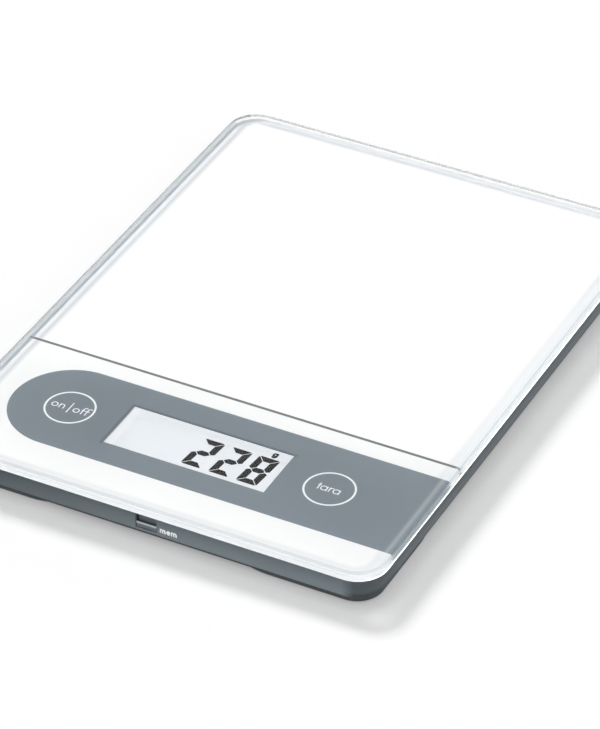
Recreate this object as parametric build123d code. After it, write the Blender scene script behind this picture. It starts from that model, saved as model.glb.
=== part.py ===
from build123d import *
import os

# Flat electronic kitchen scale: a glass platform bonded to a thin moulded housing that holds a display,
# two touch pads, a memory key, a coin cell and a load cell with its foot in each corner.
# Millimetres. X runs across the scale, Y from front (-) to back (+), Z up from the table.
# The origin is the centre of the footprint, on the table.

# ---------------------------------------------------------------- overall
platform_width = 180.0
platform_depth = 247.0
overall_height = 15.0

# ---------------------------------------------------------------- glass platform and what is bonded under it
glass_thickness = 4.0
glass_corner_radius = 12.0
glass_top_edge_radius = 1.2
glass_bottom_edge_bevel = 0.5
print_thickness = 0.15
print_inset = 1.5
tape_thickness = 0.4
tape_width = 7.0
tape_inset = 1.0
tape_bar_from_front = 68.0

# ---------------------------------------------------------------- control strip, measured from the front edge
display_from_front = 40.75
display_window_width = 65.0
display_window_depth = 23.7
touch_from_front = 41.35
touch_spacing = 105.7

# ---------------------------------------------------------------- upper housing
housing_inset = 1.5
wall_thickness = 2.0
deck_thickness = 1.4
wall_bottom_bevel = 0.3
wall_top_bevel = 0.4
rib_thickness = 1.2
deck_rib_height = 1.15
deck_rib_pitch = 30.0
boss_radius = 2.7

# ---------------------------------------------------------------- bottom cover
pod_clearance = 0.5
pod_drop = 1.3
cover_lip = 0.7
cover_thickness = 1.8
cover_inset = 0.3
cover_fit = 0.15
pod_reach = 70.0
pod_corner_radius = 30.0
pod_inset = 0.1
pod_edge_bevel = 0.4
pod_floor = 1.5
pod_wall = 1.5
screw_column = 3.8
cover_rib_height = 1.0

# ---------------------------------------------------------------- fasteners
screw_radius = 1.0
screw_head_radius = 1.9
screw_head_height = 1.1
head_clearance = 0.4
thread_clearance = 0.03
screw_margin = 8.5
screw_rows = 2
cover_screw_length = 4.6
small_screw_length = 2.4
small_head_height = 0.9

# ---------------------------------------------------------------- load cells, brackets and feet
foot_from_side = 35.0
foot_from_end = 35.5
foot_radius = 15.0
foot_gap = 0.5
foot_rim_bottom = 0.45
foot_disc_height = 1.45
foot_stem_radius = 4.0
foot_pin_proud = 0.6
pad_radius = 12.4
pad_recess_depth = 0.55
pad_fit = 0.1
cell_size = 30.0
cell_thickness = 1.5
cell_standoff = 1.4
tongue_width = 12.0
tongue_length = 19.5
cell_root = 3.5
cell_slot = 1.4
cell_relief = 1.4
cell_hole_radius = 2.05
pin_clearance = 0.05
gauge_length = 5.0
gauge_width = 7.0
gauge_height = 0.8
cell_post_size = 3.0
bracket_fit = 0.15
bracket_wall = 1.8
bracket_plate = 1.2
bracket_bearing = 3.0
hook_width = 6.0
hook_thickness = 1.2
hook_grip = 0.7
hook_height = 1.0
lead_width = 2.7

# ---------------------------------------------------------------- circuit board and display
board_thickness = 1.0
board_bracket_gap = 0.3
board_half_width = 37.0
board_arm_reach = 60.5
board_arm_depth = 15.0
chip_radius = 4.5
chip_height = 1.1
lcd_width = 71.0
lcd_depth = 30.0
lcd_plate = 0.7
lcd_ledge = 3.5
lcd_print_gap = 0.3
reflector_thickness = 0.2
frame_wall = 2.0
frame_fit = 0.15
frame_gap = 0.3
frame_lip = 0.5
frame_window_width = 62.0
frame_window_depth = 19.0
gasket_margin = 0.8
connector_width = 67.0
connector_depth = 2.0
touch_foam_size = 9.0
touch_foam_gap = 1.5

# ---------------------------------------------------------------- keys
key_window_width = 8.5
key_window_bottom = 3.7
key_gap = 0.15
key_nose_top = 6.1
key_setback = 1.3
key_flange_width = 13.0
key_flange_thickness = 1.2
key_travel = 0.4
key_clearance = 0.3
key_face_depth = 0.1
key_edge_bevel = 0.25
unit_from_front = 48.5
unit_stem_radius = 2.5
unit_flange_radius = 3.5
unit_recess = 0.3
unit_hole_gap = 0.1
unit_travel = 0.3
plunger_fit = 0.02
mem_plunger_radius = 1.2
unit_plunger_radius = 1.3
unit_switch_half_width = 2.6
mem_switch_half_width = 3.5
mem_switch_depth = 4.0

# ---------------------------------------------------------------- battery bay
bay_y = -18.0
coin_radius = 10.0
coin_thickness = 3.2
coin_gap = 0.2
contact_thickness = 0.2
door_width = 30.0
door_depth = 27.0
door_gap = 0.3
door_thickness = 1.3
bay_width = 26.0
bay_depth = 25.0
bay_roof = 1.0
bay_corner_radius = 2.0
door_corner_radius = 1.6
door_slot_half_width = 5.0
door_slot_length = 6.0
door_grooves = 3
door_groove_pitch = 1.3
finger_radius = 1.2
finger_length = 9.0

# ================================================================ levels that follow from the sizes above
glass_z = overall_height - glass_thickness
print_z = glass_z - print_thickness
deck_top = print_z - tape_thickness
deck_z = deck_top - deck_thickness
cover_z = pod_clearance + pod_drop
wall_z = cover_z + cover_lip
floor_z = cover_z + cover_thickness
pod_floor_z = pod_clearance + pod_floor
cell_z = pod_floor_z + cell_standoff
cell_top = cell_z + cell_thickness
bracket_top = cell_top + bracket_plate
board_z = bracket_top + board_bracket_gap
board_top = board_z + board_thickness
lcd_top = print_z - lcd_print_gap
lcd_middle = lcd_top - lcd_plate
lcd_z = lcd_middle - lcd_plate
reflector_z = lcd_z - reflector_thickness

front = -platform_depth / 2
back = platform_depth / 2
housing_width = platform_width - 2 * housing_inset
housing_depth = platform_depth - 2 * housing_inset
housing_radius = glass_corner_radius - housing_inset
wall_front = front + housing_inset
wall_inner_front = wall_front + wall_thickness
inner_width = housing_width - 2 * wall_thickness
inner_depth = housing_depth - 2 * wall_thickness
inner_radius = housing_radius - wall_thickness

display_y = front + display_from_front
touch_x = touch_spacing / 2
touch_y = front + touch_from_front
foot_x = platform_width / 2 - foot_from_side
foot_y = platform_depth / 2 - foot_from_end

os.makedirs("parts", exist_ok=True)
parts = {}


# ================================================================ helpers
def slab(width, depth, radius, z0, z1, x=0.0, y=0.0):
    """A plate with rounded corners between two levels."""
    return Pos(x, y, z0) * extrude(RectangleRounded(width, depth, radius), z1 - z0)


def block(x0, x1, y0, y1, z0, z1):
    """A box between its lowest and highest corners."""
    return Pos((x0 + x1) / 2, (y0 + y1) / 2, (z0 + z1) / 2) * Box(x1 - x0, y1 - y0, z1 - z0)


def disc(radius, z0, z1, x=0.0, y=0.0):
    """An upright cylinder between two levels."""
    return Pos(x, y, (z0 + z1) / 2) * Cylinder(radius, z1 - z0)


def display_block(width, depth, z0, z1, y=None):
    """A box centred on the display, or on another line across the scale."""
    centre = display_y if y is None else y
    return block(-width / 2, width / 2, centre - depth / 2, centre + depth / 2, z0, z1)


def low_edges(shape):
    return shape.edges().group_by(Axis.Z)[0]


def high_edges(shape):
    return shape.edges().group_by(Axis.Z)[-1]


def at_corner(shape, side, end):
    """Mirrors a shape modelled at the back right corner to the corner that side and end name."""
    if side == "left":
        shape = mirror(shape, about=Plane.YZ)
    if end == "front":
        shape = mirror(shape, about=Plane.XZ)
    return shape


CORNERS = [(side, end) for end in ("front", "rear") for side in ("left", "right")]


def at_all_corners(shape):
    return [at_corner(shape, side, end) for side, end in CORNERS]


# ================================================================ places of the fasteners
screw_x = platform_width / 2 - housing_inset - screw_margin
screw_y = platform_depth / 2 - housing_inset - screw_margin - 1.5
screw_pitch = 2 * screw_y / (screw_rows - 1)
cover_screw_places = []
for side in (-1, 1):
    for row in range(screw_rows):
        cover_screw_places.append((side * screw_x, -screw_y + row * screw_pitch))
board_screw_x = 30.0
frame_depth = lcd_depth + 2 * (frame_fit + frame_wall)
frame_width = lcd_width + 2 * (frame_fit + frame_wall)
board_screw_dy = frame_depth / 2 + boss_radius + 0.3
board_screw_places = [(side * board_screw_x, display_y + side * board_screw_dy) for side in (-1, 1)]
head_seat_z = cover_z + screw_head_height


def screw(x, y, seat, length, head_height):
    """A screw driven upwards, with its head below the seat level."""
    head = disc(screw_head_radius, seat - head_height, seat, x, y)
    return head + disc(screw_radius, seat, seat + length, x, y)


# ================================================================ glass platform, print and tape
def make_glass_platform():
    glass = slab(platform_width, platform_depth, glass_corner_radius, glass_z, overall_height)
    glass = fillet(high_edges(glass), glass_top_edge_radius)
    return chamfer(low_edges(glass), glass_bottom_edge_bevel)


def make_printed_backing():
    inset = 2 * print_inset
    radius = glass_corner_radius - print_inset
    sheet = slab(platform_width - inset, platform_depth - inset, radius, print_z, glass_z)
    return sheet - display_block(display_window_width, display_window_depth, print_z - 1, glass_z + 1)


def make_bonding_tape():
    outer_width = housing_width - 2 * tape_inset
    outer_depth = housing_depth - 2 * tape_inset
    outer_radius = housing_radius - tape_inset
    inner_w = outer_width - 2 * tape_width
    inner_d = outer_depth - 2 * tape_width
    ring = slab(outer_width, outer_depth, outer_radius, deck_top, print_z)
    ring -= slab(inner_w, inner_d, outer_radius - tape_width, deck_top - 1, print_z + 1)
    ring += display_block(inner_w + 2, tape_width, deck_top, print_z, front + tape_bar_from_front)
    notch = key_window_width / 2 + 0.5
    return ring - block(-notch, notch, front, wall_inner_front + 0.5, deck_top - 1, print_z + 1)


# ================================================================ upper housing
def deck_ribs():
    """Crossed stiffening ribs under the deck, behind the display."""
    first_y = display_y + frame_depth / 2 + 18.0
    last_y = inner_depth / 2 + 0.5
    z0 = deck_z - deck_rib_height
    ribs = []
    for i in (-2, -1, 0, 1, 2):
        x = i * deck_rib_pitch
        ribs.append(block(x - rib_thickness / 2, x + rib_thickness / 2, first_y, last_y, z0, deck_z + 0.1))
    reach = inner_width / 2 + 0.5
    y = first_y
    while y < last_y - rib_thickness:
        ribs.append(block(-reach, reach, y, y + rib_thickness, z0, deck_z + 0.1))
        y += deck_rib_pitch
    return ribs


def make_upper_housing():
    shell = slab(housing_width, housing_depth, housing_radius, wall_z, deck_top)
    shell = chamfer(low_edges(shell), wall_bottom_bevel)
    shell = chamfer(high_edges(shell), wall_top_bevel)
    shell -= slab(inner_width, inner_depth, inner_radius, wall_z - 1, deck_z)
    for rib in deck_ribs():
        shell += rib
    pilot = screw_radius + thread_clearance
    for x, y in cover_screw_places:
        shell += disc(boss_radius, floor_z, deck_z + 0.1, x, y)
        shell -= disc(pilot, floor_z - 1, head_seat_z + cover_screw_length + 0.4, x, y)
    for x, y in board_screw_places:
        shell += disc(boss_radius - 0.4, board_top, deck_z + 0.1, x, y)
        shell -= disc(pilot, board_top - 1, board_z + small_screw_length + 0.4, x, y)
    hole = touch_foam_size / 2 + touch_foam_gap
    for x in (-touch_x, touch_x):
        shell -= block(x - hole, x + hole, touch_y - hole, touch_y + hole, deck_z - 1, deck_top + 1)
    dx = frame_width / 2 + frame_gap
    dy = frame_depth / 2 + frame_gap
    shell -= block(-dx, dx, display_y - dy, display_y + dy, deck_z - 2, deck_top + 1)
    half = key_window_width / 2
    shell -= block(-half, half, wall_front - 1, wall_inner_front + 0.1, key_window_bottom, deck_top + 1)
    notch_back = key_back + key_travel + key_clearance
    return shell - block(-half, half, wall_front - 1, notch_back, deck_z - 1, deck_top + 1)


# ================================================================ bottom cover
def pod_outline():
    """Plan of the pod in the back right corner: rounded inwards, and along the cover's own edge outside."""
    width = housing_width - 2 * (cover_inset + pod_inset)
    depth = housing_depth - 2 * (cover_inset + pod_inset)
    radius = housing_radius - cover_inset - pod_inset
    pad = RectangleRounded(pod_reach, pod_reach, pod_corner_radius)
    pad += Pos(pod_reach / 4, pod_reach / 4) * Rectangle(pod_reach / 2, pod_reach / 2)
    pad = Pos((width - pod_reach) / 2, (depth - pod_reach) / 2) * pad
    return pad & RectangleRounded(width, depth, radius)


def pod_pocket():
    """The hollow inside that pod, with a column left for the cover's corner screw."""
    gap = 2 * cover_fit
    step = RectangleRounded(inner_width - gap, inner_depth - gap, inner_radius - cover_fit)
    pocket = offset(pod_outline() & step, -pod_wall)
    pocket -= Pos(screw_x, screw_y) * Rectangle(2 * screw_column, 2 * screw_column)
    return Pos(0, 0, pod_floor_z) * extrude(pocket, floor_z - pod_floor_z + 1)


def cell_supports():
    """Posts under the four corners of a load cell, and two snap hooks that hold its bracket down."""
    near = cell_size / 2 - cell_post_size - 0.7
    far = near + cell_post_size
    root = pod_floor_z - 0.1
    hook_top = bracket_top + hook_height
    x0 = foot_x - hook_width / 2
    x1 = foot_x + hook_width / 2
    supports = []
    for j in (-1, 1):
        y0, y1 = sorted((foot_y + j * near, foot_y + j * far))
        for x in (foot_x - far, foot_x + near):
            supports.append(block(x, x + cell_post_size, y0, y1, root, cell_z))
        face = foot_y + j * (bracket_outer / 2 + bracket_fit)
        y0, y1 = sorted((face, face + j * hook_thickness))
        supports.append(block(x0, x1, y0, y1, root, hook_top))
        y0, y1 = sorted((face - j * hook_grip, face))
        supports.append(block(x0, x1, y0, y1, bracket_top, hook_top))
    return supports


def make_bottom_cover():
    width = housing_width - 2 * cover_inset
    depth = housing_depth - 2 * cover_inset
    cover = slab(width, depth, housing_radius - cover_inset, cover_z, wall_z)
    width = inner_width - 2 * cover_fit
    depth = inner_depth - 2 * cover_fit
    cover += slab(width, depth, inner_radius - cover_fit, cover_z, floor_z)
    pod = Pos(0, 0, pod_clearance) * extrude(pod_outline(), pod_drop + cover_lip / 2)
    pod = chamfer(low_edges(pod), pod_edge_bevel)
    for copy in at_all_corners(pod):
        cover += copy
    for copy in at_all_corners(pod_pocket()):
        cover -= copy
    for support in cell_supports():
        for copy in at_all_corners(support):
            cover += copy
    for copy in at_all_corners(disc(foot_radius + foot_gap, 0, pod_floor_z + 0.5, foot_x, foot_y)):
        cover -= copy
    for x, y in cover_screw_places:
        cover -= disc(screw_radius + 0.2, 0, floor_z + 1, x, y)
        cover -= disc(screw_head_radius + head_clearance, 0, head_seat_z, x, y)
    cover += cover_ribs()
    cover += bay_walls()
    cover -= bay_hollow()
    return cover - disc(unit_stem_radius + unit_hole_gap, 0, floor_z + 1, 0, unit_y)


def cover_ribs():
    """A ladder of low ribs along the floor between the two rows of pods, behind the battery bay."""
    rail = bay_width / 2 + 4.0
    start = bay_y + bay_depth / 2 + 6.0
    end = screw_y - 10.0
    top = floor_z + cover_rib_height
    half = rib_thickness / 2
    ribs = block(-rail - half, -rail + half, start, end, floor_z - 0.1, top)
    ribs += block(rail - half, rail + half, start, end, floor_z - 0.1, top)
    steps = 4
    for i in range(steps + 1):
        y = start + (end - start - rib_thickness) * i / steps
        ribs += block(-rail, rail, y, y + rib_thickness, floor_z - 0.1, top)
    return ribs


# ================================================================ battery bay, contacts and door
coin_z = cover_z + door_thickness + coin_gap
contact_z = coin_z + coin_thickness
bay_top = contact_z + contact_thickness + bay_roof
negative_x = -7.0
contact_width = 3.0
contact_end = bay_y - bay_depth / 2 - 3.5
hinge_z = cover_z + door_thickness / 2
hinge_y = bay_y - door_depth / 2 + door_gap + door_thickness / 2
tongue_x = 8.0
door_tongue_width = 5.0
door_tongue_reach = 1.5


def bay_walls():
    return slab(bay_width, bay_depth, bay_corner_radius, floor_z - 0.1, bay_top, 0, bay_y)


def bay_hollow():
    """Everything that is cut out of the floor and the bay: door recess, coin pocket and contact slots."""
    roof_z = contact_z + contact_thickness
    ledge_z = cover_z + door_thickness + 0.05
    hollow = slab(door_width, door_depth, bay_corner_radius, cover_z - 1, ledge_z, 0, bay_y)
    hollow += block(-door_width / 2, door_width / 2, bay_y - door_depth / 2, bay_y, cover_z - 1, ledge_z)
    hollow += disc(coin_radius + 0.2, ledge_z - 0.1, roof_z, 0, bay_y)
    leg_half = contact_width / 2 + 1.7
    face = bay_y - coin_radius
    hollow += block(-leg_half, leg_half, face - 0.6, face + 1, ledge_z - 0.1, roof_z)
    for x in (0.0, negative_x):
        half = contact_width / 2 + 0.1
        hollow += block(x - half, x + half, bay_y - bay_depth / 2 - 1, bay_y - 1, contact_z - 0.02, roof_z)
    for x in (-tongue_x, tongue_x):
        half = door_tongue_width / 2 + 0.2
        far = hinge_y - door_thickness / 2 - door_tongue_reach - 0.6
        hollow += block(x - half, x + half, far, hinge_y + 0.5, hinge_z - 0.45, hinge_z + 2.6)
    finger_y = bay_y + door_depth / 2
    finger = Rot(0, 90, 0) * Cylinder(finger_radius, finger_length)
    return hollow + Pos(0, finger_y, cover_z) * finger


def make_battery_cover():
    """The door: a rounded hinge edge with two tongues, a snap tab and three grip grooves."""
    y0 = hinge_y
    y1 = bay_y + door_depth / 2 - door_gap
    half = door_width / 2 - door_gap
    top = cover_z + door_thickness
    door = slab(2 * half, y1 - y0, door_corner_radius, cover_z, top, 0, (y0 + y1) / 2)
    door += block(-half, half, y0, y0 + 2.0, cover_z, top)
    door += Pos(0, hinge_y, hinge_z) * Rot(0, 90, 0) * Cylinder(door_thickness / 2, 2 * half)
    tip = hinge_y - door_thickness / 2 - door_tongue_reach
    half = door_tongue_width / 2
    for x in (-tongue_x, tongue_x):
        door += block(x - half, x + half, tip, hinge_y, hinge_z - 0.3, hinge_z + 0.4)
    for x in (-door_slot_half_width, door_slot_half_width):
        door -= block(x - 0.4, x + 0.4, y1 - door_slot_length, y1 + 1, cover_z - 1, top + 1)
    groove = Rot(0, 90, 0) * Cylinder(0.35, 2 * door_slot_half_width - 2.6)
    for i in range(door_grooves):
        door -= Pos(0, y1 - 2.2 - door_groove_pitch * i, cover_z) * groove
    return door


def make_coin_cell():
    return disc(coin_radius, coin_z, contact_z, 0, bay_y)


def make_negative_contact():
    x0 = negative_x - contact_width / 2
    x1 = negative_x + contact_width / 2
    return block(x0, x1, contact_end, bay_y - 1.5, contact_z, contact_z + contact_thickness)


def make_positive_contact():
    leg = contact_width / 2 + 1.5
    half = contact_width / 2
    face = bay_y - coin_radius
    top = contact_z + contact_thickness
    clip = block(-leg, leg, face - contact_thickness, face, coin_z + 0.3, top)
    return clip + block(-half, half, contact_end, face, contact_z, top)


def make_battery_leads():
    """Two short wires from the contact tabs to the rear edge of the circuit board."""
    radius = 0.45
    z = contact_z + contact_thickness + radius
    start = contact_end + 2.0
    wires = []
    for x in (0.0, negative_x):
        wire = Rot(90, 0, 0) * Cylinder(radius, start - board_rear)
        wires.append(Pos(x, (start + board_rear) / 2, z) * wire)
    return Compound(children=wires)


# ================================================================ load cells, brackets, feet
def make_load_cell():
    """Stamped plate: a frame, and a tongue cut free on three sides that carries the foot."""
    half = cell_size / 2
    root = cell_root - half
    tip = root + tongue_length
    tongue = tongue_width / 2
    slot = tongue + cell_slot
    plate = block(-half, half, -half, half, 0, cell_thickness)
    plate -= block(root, tip + cell_slot, -slot, slot, -1, cell_thickness + 1)
    plate += block(root - 1, tip, -tongue, tongue, 0, cell_thickness)
    for side in (-1, 1):
        y0, y1 = sorted((side * (tongue - cell_relief / 2), side * (slot + cell_relief / 2)))
        plate -= block(root - cell_relief, root + cell_relief, y0, y1, -1, cell_thickness + 1)
    plate -= disc(cell_hole_radius, -1, cell_thickness + 1)
    return Pos(foot_x, foot_y, cell_z) * plate


gauge_x = foot_x - cell_size / 2 + 5.0 + gauge_length / 2


def make_strain_gauge():
    """The gauge under its strip of white sealant, on the root of the tongue."""
    half = gauge_length / 2
    return block(gauge_x - half, gauge_x + half, foot_y - gauge_width / 2, foot_y + gauge_width / 2,
                 cell_top, cell_top + gauge_height)


bracket_inner = cell_size + 2 * bracket_fit
bracket_outer = bracket_inner + 2 * bracket_wall


def make_cell_bracket():
    """A frame that drops over the load cell and is held under the pod's two snap hooks."""
    half = bracket_outer / 2
    frame = block(-half, half, -half, half, pod_floor_z, bracket_top)
    half = bracket_inner / 2
    frame -= block(-half, half, -half, half, pod_floor_z - 1, cell_top)
    margin = cell_size / 2 - bracket_bearing
    window = tongue_width / 2 + cell_slot + 1.0
    frame -= block(-margin, margin, -window, window, cell_top - 1, bracket_top + 1)
    half = lead_width / 2 + 0.3
    frame -= block(-bracket_outer, 1 - margin, -half, half, cell_top, bracket_top + 1)
    return Pos(foot_x, foot_y, 0) * frame


def make_foot():
    """A disc that stands in the pod's hole, on a stem whose pin goes up through the load cell's tongue."""
    disc_top = foot_rim_bottom + foot_disc_height
    pin = cell_hole_radius - pin_clearance
    pin_top = cell_top + foot_pin_proud
    with BuildPart() as foot:
        with BuildSketch(Plane.XZ):
            with BuildLine():
                Polyline(
                    (0, foot_rim_bottom + pad_recess_depth),
                    (pad_radius + pad_fit, foot_rim_bottom + pad_recess_depth),
                    (pad_radius + pad_fit, foot_rim_bottom),
                    (foot_radius, foot_rim_bottom),
                    (foot_radius, disc_top),
                    (foot_stem_radius, disc_top),
                    (foot_stem_radius, cell_z),
                    (pin, cell_z),
                    (pin, pin_top),
                    (0, pin_top),
                    close=True,
                )
            make_face()
        revolve(axis=Axis.Z)
    return Pos(foot_x, foot_y, 0) * foot.part


def make_foot_pad():
    return disc(pad_radius, 0, foot_rim_bottom + pad_recess_depth, foot_x, foot_y)


# ================================================================ circuit board and what is on it
board_front = display_y - board_screw_dy - 2.6
board_rear = display_y + board_screw_dy + 2.6
switch_front = wall_inner_front + 0.1 + key_flange_thickness + 1.2
wire_block_y = board_rear - 2.6
unit_y = front + unit_from_front


def make_circuit_board():
    outline = block(-board_half_width, board_half_width, board_front, board_rear, board_z, board_top)
    arm = board_arm_depth / 2
    outline += block(-board_arm_reach, board_arm_reach, touch_y - arm, touch_y + arm, board_z, board_top)
    outline += block(-10.0, 10.0, switch_front + 1.0, board_front + 1, board_z, board_top)
    for x, y in board_screw_places:
        outline -= disc(screw_radius + 0.15, board_z - 1, board_top + 1, x, y)
    return outline


def make_controller_chip():
    """A bonded chip under its drop of black resin, on the underside of the board."""
    return disc(chip_radius, board_z - chip_height, board_z, -9.0, display_y - 7.0)


def make_wire_connector():
    """The row of solder posts that takes the load cells' leads."""
    return block(-13.0, 13.0, wire_block_y - 2.0, wire_block_y + 2.0, cell_top, board_z)


def make_touch_foam(x):
    """A block of conductive foam that carries the touch of a finger from the platform down to the board."""
    half = touch_foam_size / 2
    return block(x - half, x + half, touch_y - half, touch_y + half, board_top, print_z)


# ================================================================ display
rear_plate_depth = lcd_depth - lcd_ledge
rear_plate_y = display_y + lcd_ledge / 2
connector_y = display_y - lcd_depth / 2 + lcd_ledge / 2
frame_top = lcd_top - frame_lip


def make_lcd_front_glass():
    return display_block(lcd_width, lcd_depth, lcd_middle, lcd_top)


def make_lcd_rear_glass():
    return display_block(lcd_width, rear_plate_depth, lcd_z, lcd_middle, rear_plate_y)


def make_lcd_reflector():
    return display_block(lcd_width - 0.4, rear_plate_depth - 0.4, reflector_z, lcd_z, rear_plate_y)


def make_lcd_frame():
    """Holds the display off the board, with a slot for the rubber connector under its front ledge."""
    frame = display_block(frame_width, frame_depth, board_top, frame_top)
    pocket_width = lcd_width + 2 * frame_fit
    pocket_depth = lcd_depth + 2 * frame_fit
    frame -= display_block(pocket_width, pocket_depth, reflector_z, frame_top + 1)
    low = board_top - 1
    high = reflector_z + 1
    frame -= display_block(frame_window_width, frame_window_depth, low, high, rear_plate_y)
    slot_width = connector_width + 0.4
    slot_depth = connector_depth + 0.4
    return frame - display_block(slot_width, slot_depth, low, high, connector_y)


def make_rubber_connector():
    """The striped rubber strip that joins the board to the display's contact ledge."""
    return display_block(connector_width, connector_depth, board_top, lcd_middle, connector_y)


def make_dust_gasket():
    ring = display_block(lcd_width - 0.4, lcd_depth - 0.4, lcd_top, print_z)
    width = display_window_width + 2 * gasket_margin
    depth = display_window_depth + 2 * gasket_margin
    return ring - display_block(width, depth, lcd_top - 1, print_z + 1)


# ================================================================ memory key in the front wall
key_back = wall_inner_front + 0.1 + key_flange_thickness
key_axis_z = (floor_z + board_z) / 2 + 0.1


def make_mem_button():
    """A nose flush with the wall in the lower half of the window, a plate set back above it, and flanges."""
    half = key_window_width / 2 - key_gap
    low = key_window_bottom + key_gap
    flange_y = wall_inner_front + 0.1
    nose = block(-half, half, wall_front + key_face_depth, key_back, low, key_nose_top)
    nose = chamfer(nose.faces().sort_by(Axis.Y)[0].edges(), key_edge_bevel)
    plate_front = wall_front + key_setback
    key = nose + block(-half, half, plate_front, key_back, key_nose_top - 0.5, deck_top - 0.5)
    half = key_flange_width / 2
    return key + block(-half, half, flange_y, key_back, floor_z + 0.3, deck_z - 0.3)


def make_mem_switch():
    """A side-pressed tactile switch under the front tongue of the board."""
    half = mem_switch_half_width
    body = block(-half, half, switch_front, switch_front + mem_switch_depth, floor_z + 0.3, board_z)
    bore = Rot(90, 0, 0) * Cylinder(mem_plunger_radius + plunger_fit, 1.8)
    return body - Pos(0, switch_front + 0.8, key_axis_z) * bore


def make_mem_switch_plunger():
    length = switch_front + 1.0 - key_back
    rod = Rot(90, 0, 0) * Cylinder(mem_plunger_radius, length)
    return Pos(0, key_back + length / 2, key_axis_z) * rod


# ================================================================ unit key in the underside
unit_bottom = cover_z + unit_recess
unit_top = floor_z + 0.85
unit_switch_z = unit_top + unit_travel + 0.1


def make_unit_button():
    stem = disc(unit_stem_radius, unit_bottom, floor_z + 0.1, 0, unit_y)
    return stem + disc(unit_flange_radius, floor_z + 0.05, unit_top, 0, unit_y)


def make_unit_switch():
    half = unit_switch_half_width
    body = block(-half, half, unit_y - half, unit_y + half, unit_switch_z, board_z)
    bore = unit_plunger_radius + plunger_fit
    return body - disc(bore, unit_switch_z - 1, unit_switch_z + 1.0, 0, unit_y)


def make_unit_switch_plunger():
    return disc(unit_plunger_radius, unit_top, unit_switch_z + 0.6, 0, unit_y)


# ================================================================ load cell leads
lead_thickness = gauge_height


def lead(points, radius):
    """A flat three-core lead along a level route."""
    route = FilletPolyline(*points, radius=radius)
    ribbon = trace(route, lead_width)
    return Pos(0, 0, cell_top) * extrude(ribbon, lead_thickness)


def make_front_lead():
    """Modelled at the front right corner: over the cell's frame, then back under the board."""
    start = gauge_x - gauge_length / 2
    turn = board_half_width - 13.0
    return lead([(start, -foot_y), (turn, -foot_y), (turn, wire_block_y), (13.0, wire_block_y)], 4.0)


def make_rear_lead():
    """Modelled at the rear right corner: along the housing, beside the bay, to the connector."""
    start = gauge_x - gauge_length / 2
    turn = bay_width / 2 + 12.0
    cross = board_rear + 6.0
    end = wire_block_y + 2.0
    return lead([(start, foot_y), (turn, foot_y), (turn, cross), (6.0, cross), (6.0, end)], 3.0)


# ================================================================ write the nodes
def add(name, shape):
    parts[name] = shape


add("glass_platform", make_glass_platform())
add("printed_backing", make_printed_backing())
add("bonding_tape", make_bonding_tape())
add("upper_housing", make_upper_housing())
add("bottom_cover", make_bottom_cover())
for side, end in CORNERS:
    corner = f"{end}_{side}"
    add(f"load_cell_{corner}", at_corner(make_load_cell(), side, end))
    add(f"strain_gauge_{corner}", at_corner(make_strain_gauge(), side, end))
    add(f"cell_bracket_{corner}", at_corner(make_cell_bracket(), side, end))
    add(f"foot_{corner}", at_corner(make_foot(), side, end))
    add(f"foot_pad_{corner}", at_corner(make_foot_pad(), side, end))
add("sensor_lead_front_right", make_front_lead())
add("sensor_lead_front_left", mirror(make_front_lead(), about=Plane.YZ))
add("sensor_lead_rear_right", make_rear_lead())
add("sensor_lead_rear_left", mirror(make_rear_lead(), about=Plane.YZ))
add("circuit_board", make_circuit_board())
add("controller_chip", make_controller_chip())
add("wire_connector", make_wire_connector())
add("touch_foam_tare", make_touch_foam(touch_x))
add("touch_foam_on_off", make_touch_foam(-touch_x))
add("lcd_front_glass", make_lcd_front_glass())
add("lcd_rear_glass", make_lcd_rear_glass())
add("lcd_reflector", make_lcd_reflector())
add("lcd_frame", make_lcd_frame())
add("rubber_connector", make_rubber_connector())
add("dust_gasket", make_dust_gasket())
add("mem_button", make_mem_button())
add("mem_switch", make_mem_switch())
add("mem_switch_plunger", make_mem_switch_plunger())
add("unit_button", make_unit_button())
add("unit_switch", make_unit_switch())
add("unit_switch_plunger", make_unit_switch_plunger())
add("battery_cover", make_battery_cover())
add("coin_cell", make_coin_cell())
add("positive_contact", make_positive_contact())
add("negative_contact", make_negative_contact())
add("battery_leads", make_battery_leads())
add("cover_screws", Compound(children=[
    screw(x, y, head_seat_z, cover_screw_length, screw_head_height) for x, y in cover_screw_places]))
add("board_screws", Compound(children=[
    screw(x, y, board_z, small_screw_length, small_head_height) for x, y in board_screw_places]))

for name, shape in parts.items():
    export_step(shape, f"parts/{name}.step")
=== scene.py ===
import bpy
import math
from mathutils import Euler, Matrix, Vector


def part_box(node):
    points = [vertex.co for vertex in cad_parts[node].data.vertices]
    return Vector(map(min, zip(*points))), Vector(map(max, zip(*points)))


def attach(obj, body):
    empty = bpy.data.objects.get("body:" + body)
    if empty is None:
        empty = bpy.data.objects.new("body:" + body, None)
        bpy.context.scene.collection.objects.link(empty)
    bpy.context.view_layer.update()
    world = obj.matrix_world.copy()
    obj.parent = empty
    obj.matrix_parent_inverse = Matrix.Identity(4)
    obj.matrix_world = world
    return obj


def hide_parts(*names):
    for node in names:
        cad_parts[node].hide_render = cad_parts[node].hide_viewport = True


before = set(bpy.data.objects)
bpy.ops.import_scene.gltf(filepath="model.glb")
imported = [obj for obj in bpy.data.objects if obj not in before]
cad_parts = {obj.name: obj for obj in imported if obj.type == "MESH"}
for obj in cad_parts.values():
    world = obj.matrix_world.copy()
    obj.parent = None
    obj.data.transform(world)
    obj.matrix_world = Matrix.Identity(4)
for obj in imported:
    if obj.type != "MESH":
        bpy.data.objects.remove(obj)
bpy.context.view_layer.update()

MM_PER_METRE = 1000
MM = 1 / MM_PER_METRE


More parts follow.
